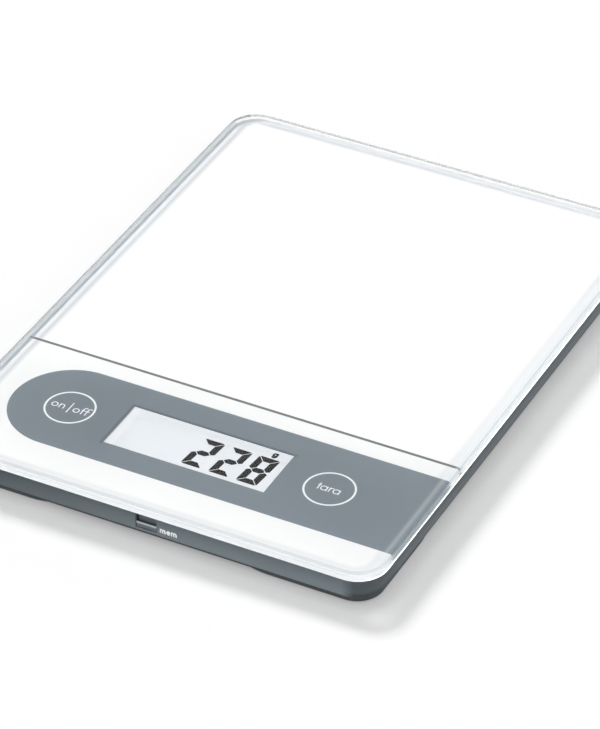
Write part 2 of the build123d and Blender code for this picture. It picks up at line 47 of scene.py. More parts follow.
def linear(red, green, blue):
    """Turns a colour as it looks, 0 to 255, into the light values that a shader takes."""
    parts = []
    for value in (red, green, blue):
        share = value / 255
        parts.append(share / 12.92 if share <= 0.04045 else ((share + 0.055) / 1.055) ** 2.4)
    return (*parts, 1.0)


def plain(level):
    """A grey that lets this share of light through, or gives it back."""
    return (level, level, level, 1.0)


def toned(colour, share):
    """The same colour, darker below a share of 1 and lighter above it."""
    return (*(min(1.0, part * share) for part in colour[:3]), 1.0)


def node_box(node):
    """The low and high corners of a node's box, in millimetres."""
    return [[part / MM for part in corner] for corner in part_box(node)]


# ---------------------------------------------------------------- shader maths

class Value:
    """One output of a node. Arithmetic on it adds the Math nodes."""

    def __init__(self, shader, node, output):
        self.shader = shader
        self.node = node
        self.output = output

    def out(self, name):
        """Another output of the same node."""
        return Value(self.shader, self.node, self.node.outputs[name])

    def maths(self, operation, *terms):
        """A Math node with these terms."""
        return self.shader.add("ShaderNodeMath", {"operation": operation}, dict(enumerate(terms)))

    def __add__(self, other):
        return self.maths("ADD", self, other)

    __radd__ = __add__

    def __sub__(self, other):
        return self.maths("SUBTRACT", self, other)

    def __rsub__(self, other):
        return self.maths("SUBTRACT", other, self)

    def __mul__(self, other):
        return self.maths("MULTIPLY", self, other)

    __rmul__ = __mul__

    def __truediv__(self, other):
        return self.maths("DIVIDE", self, other)

    def __rtruediv__(self, other):
        return self.maths("DIVIDE", other, self)

    def __abs__(self):
        return self.maths("ABSOLUTE", self)

    def __gt__(self, other):
        return self.maths("GREATER_THAN", self, other)

    def __lt__(self, other):
        return self.maths("LESS_THAN", self, other)

    def lowest(self, other):
        """The lower of the two."""
        return self.maths("MINIMUM", self, other)

    def highest(self, other):
        """The higher of the two."""
        return self.maths("MAXIMUM", self, other)

    def between(self, low, high):
        """0 at low and before it, 1 at high and beyond it, straight between them."""
        return ((self - low) / (high - low)).lowest(1.0).highest(0.0)

    def inside(self, soft):
        """1 where a distance is below zero and 0 above, with a short soft edge."""
        return (0.5 - self / (2 * soft)).lowest(1.0).highest(0.0)

    def ridge(self, width):
        """1 where a distance is zero, falling straight to 0 at this width on each side."""
        return (1.0 - abs(self) / width).highest(0.0)

    def sine(self):
        return self.maths("SINE", self)

    def root(self):
        return self.maths("SQRT", self)


class Shader:
    """A material, or the world, and the nodes that make it."""

    def __init__(self, name, library=None):
        self.owner = (bpy.data.materials if library is None else library).new(name)
        self.owner.use_nodes = True
        self.tree = self.owner.node_tree
        self.tree.nodes.clear()
        self.place = None

    def add(self, kind, settings=None, sockets=None, output=0):
        """Adds a node: its settings first, then the values or links of its sockets."""
        node = self.tree.nodes.new(kind)
        for key, setting in (settings or {}).items():
            setattr(node, key, setting)
        for key, value in (sockets or {}).items():
            socket = node.inputs[key]
            if isinstance(value, Value):
                self.tree.links.new(value.output, socket)
            else:
                socket.default_value = value
        return Value(self, node, node.outputs[output] if node.outputs else None)

    def position(self):
        """Where the point lies on the object, in metres."""
        if self.place is None:
            self.place = self.add("ShaderNodeTexCoord", output="Object")
        return self.place

    def axes(self, names="XYZ"):
        """The named coordinates of the point, in millimetres."""
        parts = self.add("ShaderNodeSeparateXYZ", sockets={0: self.position()})
        return [parts.out(axis) * MM_PER_METRE for axis in names]

    def from_edge(self, half_x, half_y, radius):
        """Millimetres outwards from a rectangle with round corners, negative inside."""
        x, y = self.axes("XY")
        over_x = abs(x) - (half_x - radius)
        over_y = abs(y) - (half_y - radius)
        out_x, out_y = over_x.highest(0.0), over_y.highest(0.0)
        outwards = (out_x * out_x + out_y * out_y).root()
        return outwards + over_x.highest(over_y).lowest(0.0) - radius

    def noise(self, size, detail, stretch=None):
        """Noise from 0 to 1 whose lumps are about this many millimetres wide."""
        place = self.position()
        if stretch:
            place = self.add("ShaderNodeVectorMath", {"operation": "MULTIPLY"},
                             {0: place, 1: stretch})
        return self.add("ShaderNodeTexNoise", {}, {
            "Vector": place, "Scale": MM_PER_METRE / size, "Detail": detail, "Roughness": 0.5})

    def mix(self, share, first, second):
        """A colour from first to second."""
        return self.add("ShaderNodeMix", {"data_type": "RGBA"},
                        {0: share, 6: first, 7: second}, output=2)

    def mix_surfaces(self, share, first, second):
        """A surface from first to second."""
        return self.add("ShaderNodeMixShader", {}, {0: share, 1: first, 2: second})

    def bump(self, height, strength, depth):
        """Relief of this depth in millimetres."""
        return self.add("ShaderNodeBump", {}, {
            "Height": height, "Strength": strength, "Distance": depth * MM})

    def principled(self, **sockets):
        """The main surface. A socket's name has _ where it shows a space."""
        named = {key.replace("_", " "): value for key, value in sockets.items()}
        return self.add("ShaderNodeBsdfPrincipled", {}, named)

    def see_through(self, colour):
        """A surface that lets this share of light straight through."""
        return self.add("ShaderNodeBsdfTransparent", {}, {"Color": colour})

    def seen(self):
        """1 where the eye, a mirror or glass sees it, 0 for the light that falls on things."""
        path = self.add("ShaderNodeLightPath", output="Is Camera Ray")
        seen = path.highest(path.out("Is Glossy Ray")).highest(path.out("Is Transmission Ray"))
        return seen * (path.out("Diffuse Depth") < 0.5)

    def finish(self, surface, kind="ShaderNodeOutputMaterial"):
        """Sets the surface and gives back the finished material or world."""
        self.add(kind, sockets={"Surface": surface})
        return self.owner


# ---------------------------------------------------------------- moulded and metal finishes

def moulded(name, colour, rough=0.42, grain=0.35, grain_depth=0.012, tone=0.04, gloss=0.5):
    """Moulded plastic: a fine spark-eroded grain, soft tone changes and uneven gloss."""
    shader = Shader(name)
    cloud = shader.noise(35, 3)
    grains = shader.noise(grain, 2)
    return shader.finish(shader.principled(
        Base_Color=shader.mix(cloud, toned(colour, 1 - tone), toned(colour, 1 + tone)),
        Roughness=rough + (grains - 0.5) * 0.12 + (cloud - 0.5) * 0.06,
        Specular_IOR_Level=gloss,
        Normal=shader.bump(grains, 0.5, grain_depth)))


def brushed(name, colour, rough, stretch=(1.0, 12.0, 12.0)):
    """Rolled or plated metal with fine lines along one direction."""
    shader = Shader(name)
    lines = shader.noise(1.2, 3, stretch)
    cloud = shader.noise(9, 2)
    return shader.finish(shader.principled(
        Base_Color=shader.mix(cloud, toned(colour, 0.92), colour),
        Metallic=1.0,
        Roughness=rough + (lines - 0.5) * 0.2,
        Normal=shader.bump(lines, 0.15, 0.01)))


def make_ink(name, colour, rough=0.6, gloss=0.2, glow=0.0):
    """Printed ink with a fine speck. A glow above 0 is painted light in the ink's own colour."""
    shader = Shader(name)
    speck = shader.noise(0.4, 1)
    return shader.finish(shader.principled(
        Base_Color=shader.mix(speck, toned(colour, 0.96), colour),
        Roughness=rough + speck * 0.05,
        Specular_IOR_Level=gloss, Emission_Color=colour, Emission_Strength=glow))


dark_cover = moulded("dark_cover", linear(76, 83, 86), 0.52, 0.6, 0.015)
switch_black = moulded("switch_black", linear(34, 34, 36), 0.4)
white_moulding = moulded("white_moulding", linear(226, 226, 222), 0.42)
foot_plastic = moulded("foot_plastic", linear(70, 75, 78), 0.48)
foot_rubber = moulded("foot_rubber", linear(52, 54, 56), 0.78, 0.7, 0.03, 0.08, 0.3)
grey_lead = moulded("grey_lead", linear(120, 122, 124), 0.5)
wire_red = moulded("wire_red", linear(160, 36, 32), 0.45)
black_resin = moulded("black_resin", linear(22, 22, 24), 0.25, 1.5, 0.03)
white_sealant = moulded("white_sealant", linear(232, 231, 226), 0.35, 1.8, 0.05)
grey_foam = moulded("grey_foam", linear(84, 84, 86), 0.9, 0.4, 0.12, 0.15, 0.2)
black_tape = moulded("black_tape", linear(30, 31, 33), 0.8, 0.3, 0.03, 0.1, 0.2)
plated_steel = brushed("plated_steel", linear(196, 196, 198), 0.32)
screw_steel = brushed("screw_steel", linear(186, 186, 188), 0.3, (6.0, 6.0, 6.0))
cell_steel = brushed("cell_steel", linear(206, 206, 206), 0.24, (14.0, 1.0, 1.0))
contact_metal = brushed("contact_metal", linear(214, 206, 186), 0.28)
white_ink = make_ink("white_ink", linear(246, 249, 251))
# The wall lettering glows a little: painted light.
wall_ink = make_ink("wall_ink", linear(244, 246, 248), 0.5, glow=0.25)
segment_black = make_ink("segment_black", linear(10, 10, 13), 0.8, 0.0)


# ---------------------------------------------------------------- housing and key

WALL_FOOT, WALL_HEAD = 3.5, 10.0
WALL_LEFT, WALL_MIDDLE = -60.0, 15.0
# Where the housing's painted shade lies on the right face and round the corners.
RIGHT_FACE = 88.2
TURN_X, TURN_Y = (76.9, 81.5), (97.0, 110.0)
# Where the key's painted shade and painted highlight lie.
PLATE_FRONT, NOSE_BACK = -121.2, -121.5
GROOVE_TOP, NOTCH_SIDE, NOSE_EDGE = 6.6, -3.5, (5.4, 5.8)


def make_housing():
    """Grey moulded wall, darker to the left, with painted shade up under the glass, on the right
    face and round the corners.
    """
    shader = Shader("grey_housing")
    x, y, z = shader.axes()
    cloud = shader.noise(35, 3)
    grains = shader.noise(0.5, 2)
    rightwards = x.between(WALL_LEFT, WALL_MIDDLE)
    lower = shader.mix(rightwards, linear(110, 120, 126), linear(144, 156, 162))
    # Painted shade: the wall darkens upwards into the shade under the glass.
    upper = shader.mix(rightwards, linear(68, 78, 84), linear(98, 109, 115))
    tone = shader.mix(z.between(WALL_FOOT, WALL_HEAD), lower, upper)
    # Painted shade on the right face.
    right_face_shade = (x > RIGHT_FACE) * (0.55 + z.between(5.0, 8.0) * 0.25)
    tone = shader.mix(right_face_shade, tone, linear(80, 88, 93))
    # Painted shade round the corners, deepest low down.
    corner = abs(x).between(*TURN_X) * abs(y).between(*TURN_Y)
    shade = shader.mix(z.between(3.6, 4.6), linear(67, 74, 77), linear(86, 96, 100))
    shade = shader.mix(z.between(5.5, 8.0), shade, linear(77, 86, 90))
    tone = shader.mix(corner, tone, shade)
    return shader.finish(shader.principled(
        Base_Color=shader.mix(cloud * 0.08, tone, linear(90, 98, 102)),
        Roughness=0.5 + (grains - 0.5) * 0.12 + (cloud - 0.5) * 0.06,
        Normal=shader.bump(grains, 0.5, 0.008)))


def make_key_plastic():
    """The key: a set-back plate with a groove over the nose. Painted shade darkens the plate, the
    groove and the plate's left side; a painted highlight runs along the nose's upper edge.
    """
    shader = Shader("key_plastic")
    x, y, z = shader.axes()
    grains = shader.noise(0.35, 2)
    plate = y > PLATE_FRONT
    # Painted shade on the set-back plate, in the groove over the nose and on the plate's left side.
    tone = shader.mix(plate, linear(116, 125, 131), linear(92, 101, 106))
    tone = shader.mix(plate * (z < GROOVE_TOP), tone, linear(84, 93, 99))
    tone = shader.mix(plate * (x < NOTCH_SIDE), tone, linear(38, 46, 52))
    # Painted highlight along the nose's upper edge.
    nose_highlight = (y < NOSE_BACK) * z.between(*NOSE_EDGE) * 0.9
    tone = shader.mix(nose_highlight, tone, linear(236, 240, 244))
    return shader.finish(shader.principled(
        Base_Color=tone, Roughness=0.4 + (grains - 0.5) * 0.12,
        Normal=shader.bump(grains, 0.5, 0.006)))


grey_housing = make_housing()
key_plastic = make_key_plastic()


# ---------------------------------------------------------------- display film, rubber and board

# Where the display film's painted glow lifts the shade along the window's back and left edges.
FILM_BACK, FILM_BACK_END = (-74.0, -69.2), -68.95
FILM_LEFT, FILM_LEFT_END = (-29.2, -33.4), -33.3
LAYER_PITCH, LAYERS_HALF = 0.36, 0.35
TRACK_STEP = 2.6


def make_reflector():
    """The pearly film behind the display. It glows all over as painted light, and more along the
    window's back and left edges to lift the shade those edges cast.
    """
    shader = Shader("pale_reflector")
    grains = shader.noise(0.4, 2)
    pearl = shader.mix(grains, linear(211, 212, 214), linear(215, 216, 218))
    x, y = shader.axes("XY")
    # Painted light: a stronger glow along the back and left edges.
    back_edge = y.between(*FILM_BACK) * (y < FILM_BACK_END)
    left_edge = x.between(*FILM_LEFT) * (x > FILM_LEFT_END)
    edge_shade_lift = 1.0 - (1.0 - back_edge) * (1.0 - left_edge)
    glow = shader.mix(edge_shade_lift, (0.277, 0.286, 0.304, 1.0), (0.838, 0.862, 0.893, 1.0))
    return shader.finish(shader.principled(
        Base_Color=pearl, Roughness=0.6 + grains * 0.08, Specular_IOR_Level=0.3,
        Emission_Color=glow, Emission_Strength=1.0, Normal=shader.bump(grains, 0.3, 0.004)))


def make_striped_rubber():
    """The strip that joins board and display: fine black and grey layers between grey sides."""
    shader = Shader("striped_rubber")
    low, high = node_box("rubber_connector")
    x, y = shader.axes("XY")
    stripes = (x * (2 * math.pi / LAYER_PITCH)).sine() * 0.5 + 0.5
    middle = abs(y - (low[1] + high[1]) / 2) < LAYERS_HALF
    return shader.finish(shader.principled(
        Base_Color=shader.mix(stripes * middle, linear(128, 130, 132), linear(28, 28, 30)),
        Roughness=0.55 + shader.noise(0.6, 2) * 0.2,
        Normal=shader.bump(stripes, 0.3, 0.01)))


def make_green_board():
    """Board with solder resist over copper tracks."""
    shader = Shader("green_board")
    x, y = shader.axes("XY")
    areas = shader.noise(5.0, 0, (1.0, 0.4, 1.0)) > 0.56
    lines = (((x + y) * TRACK_STEP).sine() * 0.5 + 0.5) > 0.62
    copper = areas * lines
    return shader.finish(shader.principled(
        Base_Color=shader.mix(copper, linear(20, 74, 44), linear(44, 116, 62)),
        Roughness=0.3 + shader.noise(2.0, 2) * 0.15,
        Normal=shader.bump(copper, 0.4, 0.03)))


pale_reflector = make_reflector()
striped_rubber = make_striped_rubber()
green_board = make_green_board()


# ---------------------------------------------------------------- printed artwork

RING_X, RING_Y, RING_RADIUS, RING_HALF = 52.85, -82.15, 9.32, 0.39
RINGS_SHIFT = -0.4
BAND_LOW, BAND_HIGH = -105.5, -58.8
DIVIDER_Y, DIVIDER_WIDTH, DIVIDER_END = -50.4, 1.25, 88.4
WINDOW_X, WINDOW_Y, WINDOW_MIDDLE = 32.5, 11.85, -82.75
# Where the painted shadow line lies, just outside the window's back and left edges.
WINDOW_SHADOW_AT, WINDOW_SHADOW_HALF = 0.75, 0.45
WINDOW_SHADOW_BACK, WINDOW_SHADOW_LEFT = -71.2, -32.3
# Where the painted reflections of the glass edge lie round the rim.
RIM_X, RIM_Y, RIM_CORNER = 87.0, 121.4, 9.0
REFLECTED_LINE_IN, REFLECTED_LINE_WIDTH = 2.3, 2.1
REFLECTED_STRIPE_IN, REFLECTED_STRIPE_HALF = 0.7, 0.8
REFLECTED_VEIL_IN, REFLECTED_VEIL_WIDTH = 0.8, 1.5
BACK_STRIP, LEFT_STRIP, RIGHT_STRIP = 110.0, (-70.0, -88.0), 86.0
CRISP = 0.06


def make_print():
    """White screen print with the grey control band, its rings and the divider line, plus painted
    reflections of the glass edge round the rim and a painted shadow line at the window.
    """
    shader = Shader("white_print")
    x, y = shader.axes("XY")
    ink = shader.noise(14, 2)

    half = (BAND_HIGH - BAND_LOW) / 2
    beside = (x + RING_X).lowest(0.0)
    across = y - (BAND_LOW + BAND_HIGH) / 2
    band = ((beside * beside + across * across).root() - half).inside(CRISP)
    line = (abs(y - DIVIDER_Y) - DIVIDER_WIDTH / 2).inside(CRISP)
    line = line * (x - DIVIDER_END).inside(0.1)
    from_window = (abs(x) - WINDOW_X).highest(abs(y - WINDOW_MIDDLE) - WINDOW_Y)
    # Painted shadow: a dark line just outside the window's back and left edges.
    outline = (abs(from_window - WINDOW_SHADOW_AT) - WINDOW_SHADOW_HALF).inside(0.3)
    outline = outline * (y > WINDOW_SHADOW_BACK).highest(x < WINDOW_SHADOW_LEFT)
    from_side = abs(x - RINGS_SHIFT) - RING_X
    from_row = y - RING_Y
    from_ring = (from_side * from_side + from_row * from_row).root() - RING_RADIUS
    ring = (abs(from_ring) - RING_HALF).inside(CRISP)

    # Painted reflections of the glass edge round the rim: a grey line, a faint stripe, a grey outer
    # band and a light veil on the grey band. The outer band lightens outwards, painted light.
    rim = shader.from_edge(RIM_X, RIM_Y, RIM_CORNER)
    back = y > BACK_STRIP
    far_sides = (y * 0.73 - x).between(-50.0, 50.0)
    reflected_line = (rim + REFLECTED_LINE_IN - back * 0.2).ridge(REFLECTED_LINE_WIDTH)
    reflected_line = reflected_line * (0.35 + far_sides * 0.65 + back * 0.25)
    reflected_stripe = (abs(rim + REFLECTED_STRIPE_IN) - REFLECTED_STRIPE_HALF).inside(0.4) * 0.5
    sides = 0.2 + x.between(*LEFT_STRIP) * 0.8 + (x > RIGHT_STRIP) * 0.3
    reflected_rim = (0.0 - rim).inside(0.3) * sides
    reflected_rim_tone = shader.mix(rim.between(0.3, 0.9), linear(204, 213, 219), linear(222, 228, 233))
    reflected_veil = (rim + REFLECTED_VEIL_IN).ridge(REFLECTED_VEIL_WIDTH) * 0.2

    white = shader.mix(ink, linear(249, 249, 249), linear(251, 251, 251))
    white = shader.mix(reflected_line, white, linear(206, 209, 213))
    white = shader.mix(reflected_stripe, white, linear(228, 231, 236))
    white = shader.mix(reflected_rim, white, reflected_rim_tone)
    rightwards = x.between(5.0, 75.0)
    grey = shader.mix(rightwards, linear(121, 131, 139), linear(125, 135, 143))
    pale_grey = shader.mix(rightwards, linear(124, 134, 142), linear(128, 138, 146))
    grey = shader.mix(ink, grey, pale_grey)
    # Painted highlight: the veil lightens the grey band along the rim.
    grey = shader.mix(reflected_veil, grey, linear(250, 250, 250))
    colour = shader.mix(band, white, grey)
    colour = shader.mix(line * (1.0 - reflected_rim * 0.55), colour, linear(112, 114, 114))
    colour = shader.mix(outline * 0.62, colour, linear(84, 92, 99))
    colour = shader.mix(ring * band, colour, linear(248, 251, 253))
    return shader.finish(shader.principled(
        Base_Color=colour, Roughness=0.6 + ink * 0.08, Specular_IOR_Level=0.2))


white_print = make_print()


# ---------------------------------------------------------------- glass

GLASS_X, GLASS_Y, GLASS_TOP = node_box("glass_platform")[1]
GLASS_CORNER = 12.0
SIDE_DEPTH, BROW_DEPTH, UNDER_DEPTH = 0.4, 1.1, 1.6
GROUND_TOP, ROUND_FOOT, ROUND_TOP = 14.8, 14.2, 14.97
CLEAR_LINE, CLEAR_LINE_EDGES = 13.4, (0.1, 0.55)
BACK_SIDE, RIGHT_SIDE, LEFT_SIDE = 121.0, 86.0, -80.0
BAND_BACK, LINE_LEVEL = -68.0, 13.7
LAMP_LEVEL, PRINT_LEVEL = 14.3, 11.0


def make_glass():
    """Clear toughened glass with a finely ground side. Lamp light passes straight through it. Its
    tint holds painted shade on the top round except at the back, low on the right side and on the
    ring under the edge, most on the left.
    """
    shader = Shader("clear_glass")
    x, y, z = shader.axes()
    edge = shader.from_edge(GLASS_X, GLASS_Y, GLASS_CORNER)
    back = y > BACK_SIDE
    beside_line = abs(z - CLEAR_LINE).between(*CLEAR_LINE_EDGES)
    side = (edge > -SIDE_DEPTH) * (z < GROUND_TOP) * back.highest(beside_line)
    # Painted shade: a darker tint on the top round, except at the back.
    brow_shade = (edge > -BROW_DEPTH) * (z > ROUND_FOOT) * (z < ROUND_TOP) * (y < 115.0) * 0.75
    under = (edge > -UNDER_DEPTH) * (z < PRINT_LEVEL)
    beside_band = (x > RIGHT_SIDE) * (y < BAND_BACK) * (z > LINE_LEVEL)

    # The ground side's tint: clear at the back, with painted shade low on the right side.
    ground = shader.mix(back, linear(240, 244, 246), plain(1.0))
    ground = shader.mix(x.between(86.5, 89.0) * (z < LINE_LEVEL), ground, linear(222, 227, 230))
    tint = shader.mix(side, (0.985, 0.995, 0.992, 1.0), ground)
    tint = shader.mix(brow_shade, tint, linear(206, 212, 216))
    # Painted shade on the ring under the edge: darkest on the left, lighter at the back.
    left = shader.mix(edge.between(-1.2, -0.6), linear(177, 187, 194), linear(157, 167, 175))
    below = shader.mix(x < LEFT_SIDE, linear(224, 228, 230), left)
    below = shader.mix(y > 115.0, below, linear(238, 241, 243))
    glass = shader.principled(
        Base_Color=shader.mix(under, tint, below),
        Transmission_Weight=1.0, IOR=1.5,
        Roughness=side.highest(under) * (0.45 + back.highest(beside_band) * 0.2),
        Specular_Tint=plain(0.08))
    lamp_way = shader.mix_surfaces(
        z > LAMP_LEVEL, shader.see_through(plain(0.0)), shader.see_through(plain(0.67)))
    shadow = shader.add("ShaderNodeLightPath", output="Is Shadow Ray")
    return shader.finish(shader.mix_surfaces(shadow, glass, lamp_way))


def make_display_glass():
    """Thin display glass: clear with a faint gloss."""
    shader = Shader("display_glass")
    gloss = shader.add("ShaderNodeBsdfGlossy", {}, {
        "Roughness": 0.08, "Color": (0.9, 0.92, 0.95, 1.0)})
    edge = shader.add("ShaderNodeFresnel", {}, {"IOR": 1.03})
    clear = shader.see_through((0.985, 0.99, 0.995, 1.0))
    return shader.finish(shader.mix_surfaces(edge, clear, gloss))


clear_glass = make_glass()
display_glass = make_display_glass()

FINISHES = {finish.name.split(".")[0]: finish for finish in (
    clear_glass, white_print, black_tape, grey_housing, dark_cover, plated_steel, screw_steel,
    white_moulding, white_sealant, foot_plastic, foot_rubber, grey_lead, green_board,
    black_resin, grey_foam, display_glass, pale_reflector, striped_rubber, key_plastic,
    switch_black, cell_steel, contact_metal, wire_red)}

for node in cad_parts.values():
    for place in node.material_slots:
        place.material = FINISHES[place.material.name.split(".")[0]]


# ---------------------------------------------------------------- pieces

def new_piece(name, points, faces, finish):
    """Makes a mesh piece of the fixed body from points in millimetres."""
    mesh = bpy.data.meshes.new(name)
    mesh.from_pydata([Vector(point) * MM for point in points], [], faces)
    mesh.update()
    piece = bpy.data.objects.new(name, mesh)
    bpy.context.scene.collection.objects.link(piece)
    mesh.materials.append(finish)
    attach(piece, "scale_body")
    return piece


CORNER_STEPS, LOWER_STEPS, UPPER_STEPS = 20, 4, 12
LOWER_ROUND, UPPER_ROUND = 0.5, 1.2
GLASS_SINK = 0.16


def rounded_outline(half_x, half_y, radius):
    """Corner centres and outward directions round a rectangle with round corners."""
    outline = []
    corners = ((1, 1, 0), (-1, 1, 90), (-1, -1, 180), (1, -1, 270))
    for side_x, side_y, start in corners:
        for step in range(CORNER_STEPS + 1):
            angle = math.radians(start + 90 * step / CORNER_STEPS)
            direction = (math.cos(angle), math.sin(angle))
            outline.append((side_x * (half_x - radius), side_y * (half_y - radius), direction))
    return outline


def glass_profile(bottom, top):
    """The section of the glass's side: how far in, how high, and which way it faces."""
    profile = []
    for step in range(LOWER_STEPS + 1):
        angle = math.radians(-90 + 90 * step / LOWER_STEPS)
        profile.append((LOWER_ROUND * (1 - math.cos(angle)),
                        bottom + LOWER_ROUND * (1 + math.sin(angle)), angle))
    for step in range(UPPER_STEPS + 1):
        angle = math.radians(90 * step / UPPER_STEPS)
        profile.append((UPPER_ROUND * (1 - math.cos(angle)),
                        top - UPPER_ROUND * (1 - math.sin(angle)), angle))
    return profile


def glass_slab():
    """The platform: flat faces, a soft round along the top edge, a small one below."""
    bottom = node_box("glass_platform")[0][2]
    profile = glass_profile(bottom - GLASS_SINK, GLASS_TOP)
    outline = rounded_outline(GLASS_X, GLASS_Y, GLASS_CORNER)
    points, normals, faces = [], [], []
    count = len(outline)
    for inset, height, angle in profile:
        reach = GLASS_CORNER - inset
        level, rise = math.cos(angle), math.sin(angle)
        for middle_x, middle_y, (east, north) in outline:
            points.append((middle_x + reach * east, middle_y + reach * north, height))
            normals.append((east * level, north * level, rise))
    for row in range(len(profile) - 1):
        for step in range(count):
            after = (step + 1) % count
            faces.append((row * count + step, row * count + after,
                          (row + 1) * count + after, (row + 1) * count + step))
    faces.append(tuple(reversed(range(count))))
    faces.append(tuple(range((len(profile) - 1) * count, len(profile) * count)))
    slab = new_piece("glass_slab", points, faces, clear_glass)
    for face in slab.data.polygons:
        face.use_smooth = True
    slab.data.normals_split_custom_set_from_vertices(normals)
    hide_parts("glass_platform")


glass_slab()


def display_plate(name, node, top_shown):
    """A display plate's rim, with its upper face where light passes into it."""
    low, high = node_box(node)
    ring = [(low[0], low[1]), (high[0], low[1]), (high[0], high[1]), (low[0], high[1])]
    points = [(x, y, low[2]) for x, y in ring] + [(x, y, high[2]) for x, y in ring]
    faces = [(step, (step + 1) % 4, 4 + (step + 1) % 4, 4 + step) for step in range(4)]
    if top_shown:
        faces.append((4, 5, 6, 7))
    plate = new_piece(name, points, faces, display_glass)
    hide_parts(node)


# ---------------------------------------------------------------- screws

HEAD_RADIUS, SHANK_RADIUS = 1.9, 1.0
COVER_HEAD, BOARD_HEAD = 1.1, 0.9
ARM, ARM_REACH, RECESS_DEPTH = 0.27, 1.12, 0.62
RECESS_WALL = ((0.72, RECESS_DEPTH * 0.85), (0.94, 0.04), (1.0, 0.0))
HEAD_CROWN = ((1.35, 0.0), (1.6, 0.05), (1.78, 0.16), (HEAD_RADIUS, 0.38))
HEAD_EDGE = 0.06
TIP_RADIUS, TIP_LENGTH = 0.35, 0.6


def cross_radius(angle):
    """How far the cross recess reaches in a direction, in millimetres."""
    across = min(abs(math.cos(angle)), abs(math.sin(angle)))
    along = max(abs(math.cos(angle)), abs(math.sin(angle)))
    return min(ARM_REACH / along, ARM / across if across > 1e-6 else ARM_REACH)


def screw_rings(base, head, length):
    """Rings of one screw from the middle of its recess to its tip, its head downwards."""
    corner = math.degrees(math.atan2(ARM, ARM_REACH))
    turns = sorted({quarter + part for quarter in (0, 90, 180, 270)
                    for part in (0.0, corner, 25.0, 35.0, 45.0, 55.0, 65.0, 90.0 - corner)})
    angles = [math.radians(turn) for turn in turns]
    seat = base + head
    tip = seat + length
    rings = [[(0.05, base + RECESS_DEPTH)] * len(angles)]
    rings += [[(cross_radius(angle) * share, base + depth) for angle in angles]
              for share, depth in RECESS_WALL]
    outline = [(radius, base + height) for radius, height in HEAD_CROWN]
    outline += [(HEAD_RADIUS, seat - HEAD_EDGE), (HEAD_RADIUS - HEAD_EDGE, seat),
                (SHANK_RADIUS, seat), (SHANK_RADIUS, tip - TIP_LENGTH), (TIP_RADIUS, tip)]
    rings += [[spot] * len(angles) for spot in outline]
    return angles, rings


def screws(name, node, centres, head):
    """Pan-head screws with a cross recess, standing where the node's own screws stand."""
    low, high = node_box(node)
    angles, rings = screw_rings(low[2], head, high[2] - low[2] - head)
    count = len(angles)
    points, faces = [], []
    for x, y in centres:
        first = len(points)
        for ring in rings:
            points += [(x + radius * math.cos(angle), y + radius * math.sin(angle), height)
                       for angle, (radius, height) in zip(angles, ring)]
        faces.append(tuple(first + step for step in range(count)))
        for row in range(len(rings) - 1):
            start = first + row * count
            for step in range(count):
                after = (step + 1) % count
                faces.append((start + after, start + step,
                              start + count + step, start + count + after))
        last = first + (len(rings) - 1) * count
        faces.append(tuple(last + step for step in reversed(range(count))))
    piece = new_piece(name, points, faces, screw_steel)
    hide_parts(node)


def screw_centres(node, diagonal):
    """Centres of screws that stand in the corners of the node's box."""
    low, high = node_box(node)
    left, right = low[0] + HEAD_RADIUS, high[0] - HEAD_RADIUS
    front, back = low[1] + HEAD_RADIUS, high[1] - HEAD_RADIUS
    pair = [(left, front), (right, back)]
    return pair if diagonal else pair + [(left, back), (right, front)]


screws("cover_screw_heads", "cover_screws", screw_centres("cover_screws", False), COVER_HEAD)
screws("board_screw_heads", "board_screws", screw_centres("board_screws", True), BOARD_HEAD)


# ---------------------------------------------------------------- lettering

def arc(x, y, radius, start, end, steps=14):
    """Points on an arc, angles in degrees."""
    angles = [math.radians(start + (end - start) * step / steps) for step in range(steps + 1)]
    return [(x + radius * math.cos(angle), y + radius * math.sin(angle)) for angle in angles]


# Each letter is a list of lines on a grid whose unit is the height of a small letter.
LETTERS = {
    "o": [arc(0.5, 0.5, 0.5, 0, 360, 32)],
    "n": [[(0.0, 0.0), (0.0, 1.0)],
          [(0.0, 0.5)] + arc(0.38, 0.62, 0.38, 180, 0) + [(0.76, 0.0)]],
    "f": [arc(0.42, 1.42, 0.34, 60, 180, 8) + [(0.08, 0.0)], [(-0.16, 1.0), (0.42, 1.0)]],
    "t": [[(0.1, 1.45), (0.1, 0.0)], [(-0.12, 1.0), (0.36, 1.0)]],
    "a": [arc(0.5, 0.5, 0.5, 0, 360, 32), [(1.0, 1.0), (1.0, 0.0)]],
    "r": [[(0.0, 0.0), (0.0, 1.0)], arc(0.42, 0.55, 0.42, 180, 75, 8)],
    "e": [[(0.0, 0.5), (1.0, 0.5)] + arc(0.5, 0.5, 0.5, 0, 318, 28)],
    "m": [[(0.0, 0.0), (0.0, 1.0)],
          [(0.0, 0.5)] + arc(0.3, 0.68, 0.3, 180, 0, 10) + [(0.6, 0.0)],
          [(0.6, 0.5)] + arc(0.9, 0.68, 0.3, 180, 0, 10) + [(1.2, 0.0)]],
    "/": [[(0.0, -0.62), (0.0, 1.98)]],
}
UNIT_MARK = (arc(0.5, 0.5, 0.5, 0, 360, 24),
             [(1.0, 1.0), (1.0, -0.2)] + arc(0.55, -0.2, 0.45, 0, -150, 10))
CAP_STEPS = 8
LINE_LIFT, PRINT_LIFT, WALL_LIFT = 0.003, 0.008, 0.01
PRINT_TOP = node_box("printed_backing")[1][2]
WALL_Y = node_box("upper_housing")[0][1]


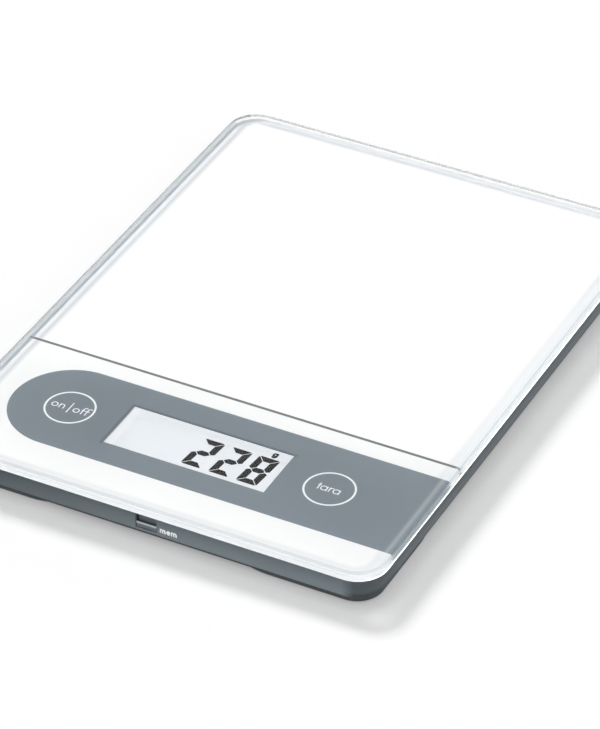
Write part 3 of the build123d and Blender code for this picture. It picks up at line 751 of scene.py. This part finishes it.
def stroke(points, width):
    """A flat ribbon with rounded ends along a line of points: its points and faces."""
    closed = math.dist(points[0], points[-1]) < 1e-6
    path = points[:-1] if closed else points
    count = len(path)
    made, faces = [], []
    for step, (x, y) in enumerate(path):
        before = path[step - 1] if step or closed else path[0]
        after = path[(step + 1) % count] if step + 1 < count or closed else path[-1]
        run_x, run_y = after[0] - before[0], after[1] - before[1]
        length = math.hypot(run_x, run_y)
        side = (-run_y / length * width / 2, run_x / length * width / 2)
        made += [(x + side[0], y + side[1]), (x - side[0], y - side[1])]
    for step in range(count if closed else count - 1):
        after = (step + 1) % count
        faces.append((2 * step, 2 * step + 1, 2 * after + 1, 2 * after))
    if not closed:
        for end, inner in ((0, 1), (count - 1, count - 2)):
            x, y = path[end]
            angle = math.degrees(math.atan2(y - path[inner][1], x - path[inner][0]))
            cap = arc(x, y, width / 2, angle - 90, angle + 90, CAP_STEPS)
            faces.append(tuple(range(len(made), len(made) + len(cap))))
            made += cap
    return made, faces


def add_stroke(points, faces, path, width, place):
    """Adds a ribbon to a piece's points and faces. place turns x, y into a point."""
    made, quads = stroke(path, width)
    first = len(points)
    points.extend(place(x, y) for x, y in made)
    faces.extend(tuple(first + corner for corner in face) for face in quads)


def lettering(name, parts, size, width, place, finish):
    """Drawn letters as one flat piece. parts are (letter, x, y, how wide), each line a layer up."""
    points, faces = [], []
    lines = [(start_x, start_y, wide, line) for letter, start_x, start_y, wide in parts
             for line in LETTERS[letter]]
    for layer, (start_x, start_y, wide, line) in enumerate(lines):
        path = [(start_x + x * size * wide, start_y + y * size) for x, y in line]
        lift = LINE_LIFT * layer
        add_stroke(points, faces, path, width, lambda x, y: place(x, y, lift))
    new_piece(name, points, faces, finish)


def on_print(x, y, lift):
    """A point just above the print."""
    return (x, y, PRINT_TOP + PRINT_LIFT + lift)


def on_wall(x, y, lift):
    """A point just in front of the front wall."""
    return (x, WALL_Y - WALL_LIFT - lift, y)


lettering("on_off_lettering", [
    ("o", -60.4, -83.75, 1.0), ("n", -57.15, -83.75, 1.0), ("/", -53.2, -83.75, 1.0),
    ("o", -51.5, -83.85, 1.0), ("f", -48.2, -83.85, 1.0), ("f", -46.5, -83.85, 1.0)],
    2.25, 0.46, on_print, white_ink)
lettering("tare_lettering", [
    ("t", 48.05, -83.75, 1.0), ("a", 49.25, -83.75, 1.0), ("r", 52.6, -83.75, 1.0),
    ("a", 54.15, -83.75, 1.0)],
    2.35, 0.45, on_print, white_ink)
lettering("mem_lettering", [
    ("m", 5.75, 4.65, 1.12), ("e", 8.45, 4.65, 0.72), ("m", 10.2, 4.65, 1.12)],
    1.36, 0.56, on_wall, wall_ink)


# ---------------------------------------------------------------- display segments

DIGIT_WIDTH, DIGIT_HEIGHT, SEGMENT = 8.3, 16.7, 2.65
GAP, LEAN, CHAMFER = 0.18, 0.085, 0.7
DIGIT_BASE, DIGIT_LIFT = -90.67, 0.03
READING = (("abged", -3.2), ("abged", 7.92), ("abcdefg", 19.04))
MARK_X, MARK_Y, MARK_SIZE, MARK_WIDTH = 24.55, -72.0, 1.42, 0.85


def digit_segments():
    """The seven segments of a digit as outlines, with cut corners and thin gaps."""
    width, height, thick, gap = DIGIT_WIDTH, DIGIT_HEIGHT, SEGMENT, GAP
    centre = height / 2
    near, far = (CHAMFER - gap) / 2, (CHAMFER + gap) / 2
    top = [(CHAMFER, height), (width - CHAMFER, height), (width - far, height - near),
           (width - thick - gap, height - thick), (thick + gap, height - thick),
           (far, height - near)]
    upper_left = [(0, height - CHAMFER), (near, height - far), (thick, height - thick - gap),
                  (thick, centre + thick / 2 + gap), (thick * 0.45, centre + gap),
                  (0, centre + thick * 0.28 + gap)]
    middle = [(thick / 2 + gap, centre), (thick + gap, centre + thick / 2),
              (width - thick - gap, centre + thick / 2), (width - thick / 2 - gap, centre),
              (width - thick - gap, centre - thick / 2), (thick + gap, centre - thick / 2)]

    def flip(outline, across=False, down=False):
        """The outline mirrored, still facing up."""
        turned = [(width - x if across else x, height - y if down else y) for x, y in outline]
        return turned if across == down else turned[::-1]

    return {
        "a": top, "g": middle, "d": flip(top, down=True), "f": upper_left,
        "b": flip(upper_left, across=True), "e": flip(upper_left, down=True),
        "c": flip(upper_left, across=True, down=True)}


def display_digits():
    """The reading, and the unit mark above its last digit."""
    segments = digit_segments()
    level = node_box("lcd_reflector")[1][2] + DIGIT_LIFT
    points, faces = [], []
    for lit, left in READING:
        for key in lit:
            faces.append(tuple(range(len(points), len(points) + len(segments[key]))))
            points += [(left + x + LEAN * y, DIGIT_BASE + y, level) for x, y in segments[key]]
    for line in UNIT_MARK:
        path = [(MARK_X + (x + LEAN * y) * MARK_SIZE, MARK_Y + y * MARK_SIZE) for x, y in line]
        add_stroke(points, faces, path, MARK_WIDTH, lambda x, y: (x, y, level))
    new_piece("display_digits", points, faces, segment_black)


display_digits()
display_plate("front_display_plate", "lcd_front_glass", True)
display_plate("rear_display_plate", "lcd_rear_glass", False)


# ---------------------------------------------------------------- stage

SKY_LEVEL = 0.5
FLOOR_WHITE, FLOOR_REACH = 0.28, 6.0
KEY_LEVEL, KEY_WIDTH = 0.52, 14
KEY_TRAVEL = Vector((14.0, -11.4, -15.0))
SENSOR_WIDTH, LENS_LENGTH = 36.0, 206.5
CAMERA_PLACE = Vector((575.0, -1131.98, 920.18))
CAMERA_DOWN, CAMERA_ROUND, CAMERA_ROLL = 36.02, 26.98, 0.145


def make_floor():
    """A white table top that keeps the object's shadow, softened where it is seen."""
    shader = Shader("floor_white")
    cloud = shader.noise(120, 2)
    lit = shader.principled(
        Base_Color=shader.mix(cloud, linear(252, 252, 252), linear(254, 254, 254)),
        Roughness=0.9, Specular_IOR_Level=0.0)
    white = shader.add("ShaderNodeEmission", {}, {"Color": plain(1.0), "Strength": 1.0})
    surface = shader.mix_surfaces(shader.seen() * FLOOR_WHITE, lit, white)
    mesh = bpy.data.meshes.new("floor")
    mesh.from_pydata([(x * FLOOR_REACH, y * FLOOR_REACH, 0)
                      for x, y in ((-1, -1), (1, -1), (1, 1), (-1, 1))], [], [(0, 1, 2, 3)])
    floor = bpy.data.objects.new("floor", mesh)
    bpy.context.scene.collection.objects.link(floor)
    mesh.materials.append(shader.finish(surface))


def make_world():
    """Even studio light from all round, and plain white behind everything that is seen."""
    shader = Shader("studio", bpy.data.worlds)
    sky, white = [
        shader.add("ShaderNodeBackground", {}, {"Color": plain(1.0), "Strength": level})
        for level in (SKY_LEVEL, 1.0)]
    surface = shader.mix_surfaces(shader.seen(), sky, white)
    bpy.context.scene.world = shader.finish(surface, "ShaderNodeOutputWorld")


def make_key_light():
    """A broad lamp from the back left, which throws the shadow to the front right."""
    lamp = bpy.data.lights.new("key_light", "SUN")
    lamp.angle = math.radians(KEY_WIDTH)
    lamp.energy = KEY_LEVEL * math.pi / math.cos(KEY_TRAVEL.angle(Vector((0, 0, -1))))
    key_light = bpy.data.objects.new("key_light", lamp)
    key_light.rotation_mode = "QUATERNION"
    key_light.rotation_quaternion = KEY_TRAVEL.to_track_quat("-Z", "Y")
    key_light.visible_transmission = False
    bpy.context.scene.collection.objects.link(key_light)


def make_camera():
    """A long lens from the front right and above."""
    lens = bpy.data.cameras.new("camera")
    lens.sensor_width = SENSOR_WIDTH
    lens.lens = LENS_LENGTH
    camera = bpy.data.objects.new("camera", lens)
    bpy.context.scene.collection.objects.link(camera)
    aim = Euler((math.radians(90 - CAMERA_DOWN), 0, math.radians(CAMERA_ROUND)))
    roll = Matrix.Rotation(math.radians(CAMERA_ROLL), 4, "Z")
    camera.matrix_world = Matrix.Translation(CAMERA_PLACE * MM) @ aim.to_matrix().to_4x4() @ roll
    bpy.context.scene.camera = camera


make_floor()
make_world()
make_key_light()
make_camera()
bpy.context.scene.view_settings.view_transform = "Standard"
